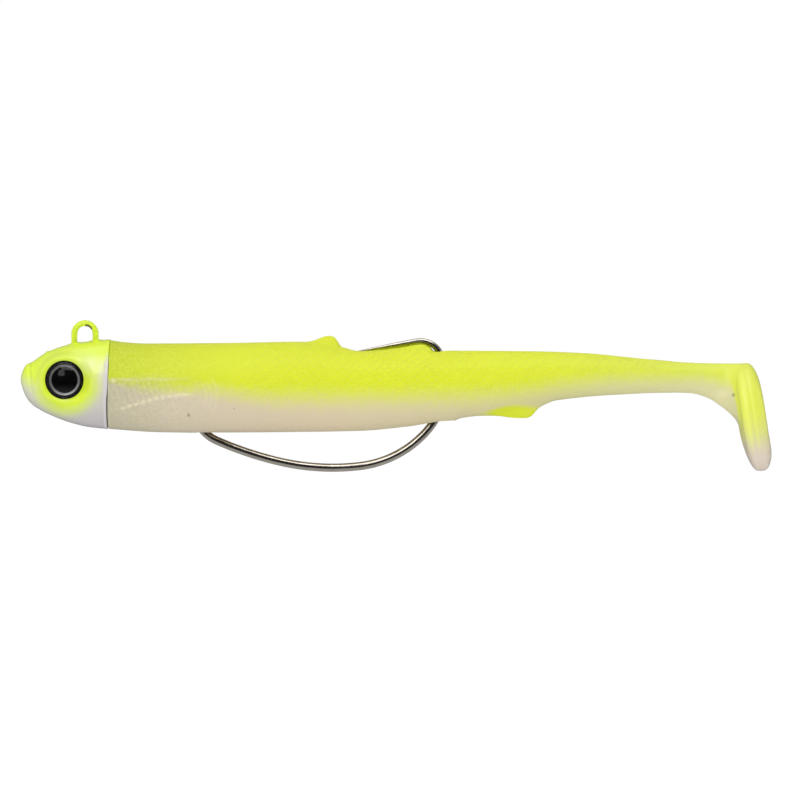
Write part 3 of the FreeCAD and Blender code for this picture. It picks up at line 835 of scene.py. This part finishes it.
def head_skin():
    """Rings of the head from nose to rear, with its mouth, rim, brow and eye seats."""
    front = np.linspace(0.13, math.sqrt(2.7 - NOSE), 130) ** 2 + NOSE
    xs = np.concatenate([front, np.linspace(2.75, 4.0, 20)])
    t = np.sqrt(xs - NOSE)
    turn = round_turn(220)
    top, bottom, wide = HEAD_TOP(t)[:, None], HEAD_BOTTOM(t)[:, None], HEAD_WIDE(t)[:, None]
    middle = (top + bottom) / 2
    power = 2 / (2.0 + 0.2 * ease(xs, -6, 2))[:, None]
    x = np.repeat(xs[:, None], len(turn), 1)
    y = -wide * signed_power(np.sin(turn), power)
    z = middle + (top - bottom) / 2 * signed_power(np.cos(turn), power)

    # mouth, rear flange, brow, a step to the soft body, and a fillet at each leg of the line tie
    side = ease(np.abs(y), 0.2, 1.0)
    off = x - MOUTH(z)
    reach = ease(z, -10.4, -8.8) * (1 - ease(z, -4.9, -4.3))
    lips = 0.06 * hump(off, -0.42, 0.24) + 0.1 * hump(off, 0.48, 0.3)
    push = reach * side * (-0.13 * hump(off, 0, 0.24) + lips)
    flange = ease(z, -2.6, -5.0)
    push = push - 0.04 * flange * hump(x, CREASE(z), 0.1)
    push = push + 0.02 * flange * ease(x, CREASE(z), CREASE(z) + 0.2)
    push = push + 0.2 * hump(x, -6.1, 0.28) * hump(y, 0, 1.4) * (z > -6)
    push = push - 0.14 * ease(x, 3.85, 4.0)
    for leg in (-TIE_RADIUS, TIE_RADIUS):
        push = push + 0.3 * np.exp(-(((x - leg) / 0.75) ** 2 + (y / 0.75) ** 2)) * (z > -6)
    out_y, out_z = y / wide ** 2, (z - middle) / ((top - bottom) / 2) ** 2
    size = np.hypot(out_y, out_z) + 1e-9
    y = y + push * out_y / size
    z = z + push * out_z / size

    # a flat seat for each eye, with a soft mound round it
    away = np.hypot(x - EYE_AT[0], z - EYE_AT[1])
    seat = 4.2 + 0.25 * ease(away, 2.76, 3.0) + 0.22 * ease(away, 3.15, 3.55) - 0.12 * ease(away, 3.6, 4.8)
    hold = (1 - ease(away, 3.25, 4.7)) * (np.abs(y) > 1.0)
    y = np.sign(y) * (np.abs(y) + (seat - np.abs(y)) * hold)

    # the rear face leans forward at the chin
    x = x - 0.12 * ease(z, -8.5, -10.5) * ease(x, 3.0, 4.0)
    return np.stack([lean_rear(x, z), y, z], axis=2)


head = tube_mesh("head_casting_skin", head_skin(), nose=(NOSE, 0, -7.3))
x, y, z = store_rest(head).T

# chartreuse above this level and in a halo round the eye
level = smooth_line([
    (-10.0, -7.5), (-8.5, -8.2), (-6.0, -8.8), (0.0, -8.6), (2.0, -7.4), (3.0, -5.4), (4.0, -5.0)])
around_eye = np.hypot((x + 2.7) * 0.95, z + 7.85)
halo = 0.5 + (4.7 - around_eye) / 2.6
tint = 0.5 + (z - level(x)) / 4.2
store(head, "tint", np.clip(np.maximum(tint, halo * (np.abs(y) > 0.8)), -0.5, 1.5))
store(head, "halo", np.clip(hump(around_eye, 4.6, 1.0), 0, 1))
store(head, "rim", ease(x, CREASE(z) - 0.25, CREASE(z) + 0.2) * ease(z, -2.6, -5.4))
# a painted highlight: the pale patch of a window's reflection on the upper head, above and behind the eye
store(head, "painted_highlight_patch", hump(np.hypot((x - 1.3) / 2.1, (z + 4.9) / 1.5), 0, 1))
dress(head, PAINT)
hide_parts("head_casting")
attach(head, "head")


# ---------------------------------------------------------------- wire through the head

# up the front leg, over the line tie, down the rear leg, out behind the head, round the hook's loop and back
tie_runs = [(6.0, None), (TIE_RADIUS, -180), (5.0, None), (1.6, 90), (3.6, None), (1.5, -180), (4.6, None)]
path, heading, run = bend_path((-TIE_RADIUS, -6.0), 90, tie_runs, 0.12)
TIE_WIRE = 0.425
LACQUER = 0.055
painted = 1 - ease(path[:, 0], 2.2, 3.4)
thick = TIE_WIRE + LACQUER * painted + 0.012 * np.sin(run * 2.3) * painted
tie = tube_mesh("line_tie_wire", wire_rings(path, heading, thick, thick, 36))
x, y, z = store_rest(tie).T

# bare metal inside the loop, at the inner foot of its front leg, and from the head's rear backwards
inner = 1.72 - np.hypot(x, np.maximum(z, 0))
angle = np.degrees(np.arctan2(z, x))
in_loop = hump(angle, 62, 38) * ease(inner, 0.05, 0.3) * (z > -0.6)
on_leg = 0.6 * hump(z, -1.1, 0.4) * ease(x, -1.5, -1.2) * (x < 0)
store(tie, "bare", np.maximum(np.maximum(in_loop, on_leg), ease(x, 2.4, 3.2)))
dress(tie, TIE)
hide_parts("through_wire")
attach(tie, "head")


# ---------------------------------------------------------------- eyes

SIDES = {"left": -1, "right": 1}

# (radius, distance from the middle plane) of the printed disc
PRINT_LINE = [(0, 4.32), (1.5, 4.32), (2.95, 4.32), (3.05, 4.36), (3.07, 4.44), (3.05, 4.52), (2.98, 4.55),
              (2.68, 4.55), (2.6, 4.53), (2.46, 4.45), (2.28, 4.38), (2.2, 4.37), (1.95, 4.40), (1.4, 4.45),
              (0.7, 4.49), (0, 4.5)]

# the dome: a flat back, then part of a sphere
DOME_RADIUS = 4.7
DOME_TOP = 5.58
DOME_EDGE = 38
DOME_LINE = [(0, 4.58), (1.4, 4.58), (2.8, 4.58), (2.88, 4.6)]
for a in np.radians(np.linspace(DOME_EDGE, 0, 22)):
    DOME_LINE.append((DOME_RADIUS * math.sin(a), DOME_TOP - DOME_RADIUS * (1 - math.cos(a))))

for label, side in SIDES.items():
    axis = (0, side, 0)
    centre = (EYE_AT[0], 0, EYE_AT[1])
    disc = lathe("eye_print_" + label, PRINT_LINE, centre, axis, 120)
    x, y, z = store_rest(disc).T
    store(disc, "ring", np.hypot(x - EYE_AT[0], z - EYE_AT[1]))
    store(disc, "turn", np.arctan2(z - EYE_AT[1], x - EYE_AT[0]))
    dress(disc, EYE)
    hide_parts("eye_disc_" + label)
    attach(disc, "head")

    dome = lathe("eye_dome_" + label + "_resin", DOME_LINE, centre, axis, 120)
    store_rest(dome)
    dress(dome, RESIN)
    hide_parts("eye_dome_" + label)
    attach(dome, "head")


# ---------------------------------------------------------------- hook

POINT_LONG = 10.3
CLAW_RADIUS = 3.5
CLAW_TURN = 79.4
WIRE_RADIUS = 0.66
POINT_RADIUS = 0.40
TIP_RADIUS = 0.06
HOOK_AROUND = 48
hook_runs = [(2.4, None), (2.1, -53.4), (7.7, None), (6.1, 29.5), (56.9, 10.6), (37.4, 19.9), (17.0, 40.6),
             (12.1, 63.3), (CLAW_RADIUS, CLAW_TURN), (POINT_LONG, None)]
path, heading, run = bend_path((9.95, -8.1), 0, hook_runs, 0.2)
point_from = run[-1] - POINT_LONG
claw_from = point_from - CLAW_RADIUS * math.radians(CLAW_TURN)

# the wire thins round the claw, tapers to its point, and is a little narrower across before the claw
radius = WIRE_RADIUS - (WIRE_RADIUS - POINT_RADIUS) * ease(run, claw_from - 3.0, point_from)
taper = np.clip((run - point_from) / POINT_LONG, 0, 1)
radius = radius - (POINT_RADIUS - TIP_RADIUS) * taper ** 1.5
forged = ease(run, 13.0, 17.0) * (1 - ease(run, claw_from, point_from))
flat = radius * (1 - 0.14 * forged)
wire = tube_mesh("hook_wire", wire_rings(path, heading, radius, flat, HOOK_AROUND))
turn = np.tile(round_turn(HOOK_AROUND), len(path))
store_rest(wire)
store(wire, "run", np.concatenate([np.repeat(run, HOOK_AROUND), [run[0], run[-1]]]))
store(wire, "turn", np.concatenate([np.abs(turn - math.pi), [0, 0]]))

# the hook's eye: a ring about the hinge, from its (radius, height) section
HINGE = (8.4, 0, -8.1)
RING_STEPS = 72
eye_line = [(1.02, -0.1), (1.05, -0.38), (1.2, -0.52), (1.55, -0.55), (1.9, -0.52), (2.05, -0.38), (2.1, 0.0),
            (2.05, 0.38), (1.9, 0.52), (1.55, 0.55), (1.2, 0.52), (1.05, 0.38), (1.02, 0.1)]
ring_points = []
for a in round_turn(RING_STEPS):
    ring_points += [(HINGE[0] + r * math.cos(a), r * math.sin(a), HINGE[2] + h) for r, h in eye_line]
size = len(eye_line)
faces = []
for i in range(RING_STEPS):
    k = (i + 1) % RING_STEPS
    for j in range(size):
        m = (j + 1) % size
        faces.append((i * size + j, k * size + j, k * size + m, i * size + m))
ring_eye = new_object("hook_eye_ring", ring_points, faces)
face_outward(ring_eye)
x, y, z = store_rest(ring_eye).T
store(ring_eye, "run", np.arctan2(y, x - HINGE[0]) * 2)
store(ring_eye, "turn", z)

for piece in (wire, ring_eye):
    dress(piece, NICKEL)
    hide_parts("hook")
    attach(piece, "hook")


# ---------------------------------------------------------------- camera, light and floor

scene = bpy.context.scene
scene.view_settings.view_transform = "Standard"

# the photographer's place: a long lens, far enough away for the frame's width at the lure
LENS = 200
SENSOR = 36
FRAME_WIDE = 0.128
lens = bpy.data.cameras.new("camera")
lens.lens = LENS
lens.sensor_width = SENSOR
lens.clip_start = 0.01
lens.clip_end = 50
camera = bpy.data.objects.new("camera", lens)
scene.collection.objects.link(camera)
camera.location = (0.0504, -FRAME_WIDE * LENS / SENSOR, -0.0106)
camera.rotation_euler = (math.radians(90), 0, 0)
scene.camera = camera

# name, azimuth, elevation, distance, width, height, brightness, and the light it gives: a gloss lamp gives
# no diffuse light, and a matt one gives only that
LAMPS = [
    ("key", 4, 50, 0.6, 0.46, 0.24, 2.5, "both"),
    ("top", 0, 84, 0.6, 0.7, 0.5, 1.0, "both"),
    ("right", 80, 15, 0.6, 0.25, 0.4, 1.6, "both"),
    ("pane", -20, 26, 0.6, 0.26, 0.2, 2.6, "gloss"),
    ("left", -85, 6, 0.6, 0.36, 0.45, 2.0, "matt"),
    ("window", -24, 22, 0.6, 0.44, 0.40, 2.0, "matt"),
    ("rear", 180, 25, 0.6, 0.7, 0.5, 1.8, "matt"),
    ("low_fill", 10, -42, 0.6, 0.8, 0.5, 1.55, "matt"),
    ("front_fill", 12, -4, 0.75, 0.6, 0.3, 1.0, "matt")]
lure_middle = (cad_box[0] + cad_box[1]) / 2


def softbox(name, azimuth, elevation, distance, width, height, radiance, gives):
    """A rectangular light that faces the lure; its brightness is the same at any size."""
    light = bpy.data.lights.new(name, "AREA")
    light.shape = "RECTANGLE"
    light.size, light.size_y = width, height
    light.energy = radiance * math.pi * width * height
    thing = bpy.data.objects.new(name, light)
    a, e = math.radians(azimuth), math.radians(elevation)
    away = Vector((math.sin(a) * math.cos(e), -math.cos(a) * math.cos(e), math.sin(e)))
    thing.location = lure_middle + away * distance
    thing.rotation_mode = "QUATERNION"
    thing.rotation_quaternion = away.to_track_quat("Z", "Y")
    thing.visible_camera = False
    thing.visible_diffuse = gives != "gloss"
    thing.visible_glossy = gives != "matt"
    thing.visible_transmission = gives != "matt"
    scene.collection.objects.link(thing)


for lamp in LAMPS:
    softbox(*lamp)

# a dark studio in front, where the photographer stands, over a pale table, and grey paper behind
world = bpy.data.worlds.new("studio")
world.use_nodes = True
sky = Nodes(world.node_tree)
toward = sky.split(sky.add("ShaderNodeTexCoord").outputs["Generated"])
front = sky.fade(toward[1], -0.8, -0.1, 0.03, 0.42)
table = sky.fade(toward[2], -0.3, -0.6, 0.0, 0.5)
behind = sky.fade(toward[1], 0.35, 0.95, 1.0, 0.5)
strength = sky.math("MULTIPLY", sky.math("MAXIMUM", front, table), behind)
background = sky.tree.nodes["Background"]
sky.feed(background.inputs[0], (1, 1, 1, 1))
sky.feed(background.inputs[1], strength)
scene.world = world


def stage_object(name, mesh, material):
    """Part of the studio: it is seen by the camera and takes shadows, but doesn't light the lure."""
    mesh.materials.append(material)
    thing = bpy.data.objects.new(name, mesh)
    scene.collection.objects.link(thing)
    thing.visible_diffuse = False
    thing.visible_glossy = False
    thing.visible_transmission = False
    thing.visible_shadow = False
    return thing


def studio_paper():
    """Paper that runs into glowing white away from the lure, and is clear from below."""
    n = Material("studio_paper")
    coords = n.add("ShaderNodeTexCoord").outputs["Object"]
    x, y, _ = n.split(coords)
    out = n.math("SQRT", n.math("ADD", n.math("POWER", x, 2.0), n.math("POWER", y, 2.0)))
    white = n.fade(out, 0.12, 0.42)
    fibre = n.mix(n.noise(coords, 60.0, 4.0), (0.88, 0.88, 0.88, 1), (0.94, 0.94, 0.94, 1))
    n.finish(Base_Color=n.mix(white, fibre, (0.0, 0.0, 0.0, 1)), Roughness=1.0,
             Emission_Color=(1, 1, 1, 1), Emission_Strength=white)
    choice = n.add("ShaderNodeMixShader")
    n.feed(choice.inputs[0], n.add("ShaderNodeNewGeometry").outputs["Backfacing"])
    n.feed(choice.inputs[1], n.shader.outputs[0])
    n.feed(choice.inputs[2], n.add("ShaderNodeBsdfTransparent").outputs[0])
    n.feed(n.tree.nodes["Material Output"].inputs[0], choice.outputs[0])
    return n.material


def studio_backdrop():
    """An even white glow."""
    n = Material("studio_backdrop")
    haze = n.noise(n.add("ShaderNodeTexCoord").outputs["Object"], 0.5, 2.0)
    return n.finish(Base_Color=(0, 0, 0, 1), Roughness=1.0, Specular_IOR_Level=0.0,
                    Emission_Color=n.mix(haze, (1, 1, 1, 1), (1.02, 1.02, 1.02, 1)), Emission_Strength=1.0)


# the backdrop is nearer than 6 m, so a camera that stops seeing at 6 m still sees it
FLOOR_HALF = 4
FLOOR_HEIGHT = -0.12
BACKDROP_RADIUS = 4.5

paper = studio_paper()
mesh = bpy.data.meshes.new("floor")
corners = [(-FLOOR_HALF, -FLOOR_HALF, 0), (FLOOR_HALF, -FLOOR_HALF, 0),
           (FLOOR_HALF, FLOOR_HALF, 0), (-FLOOR_HALF, FLOOR_HALF, 0)]
mesh.from_pydata(corners, [], [(0, 1, 2, 3)])
floor = stage_object("floor", mesh, paper)
floor.location = (0.05, 0, FLOOR_HEIGHT)

glow = studio_backdrop()
bm = bmesh.new()
bmesh.ops.create_icosphere(bm, subdivisions=3, radius=BACKDROP_RADIUS)
mesh = bpy.data.meshes.new("backdrop")
bm.to_mesh(mesh)
bm.free()
stage_object("backdrop", mesh, glow)
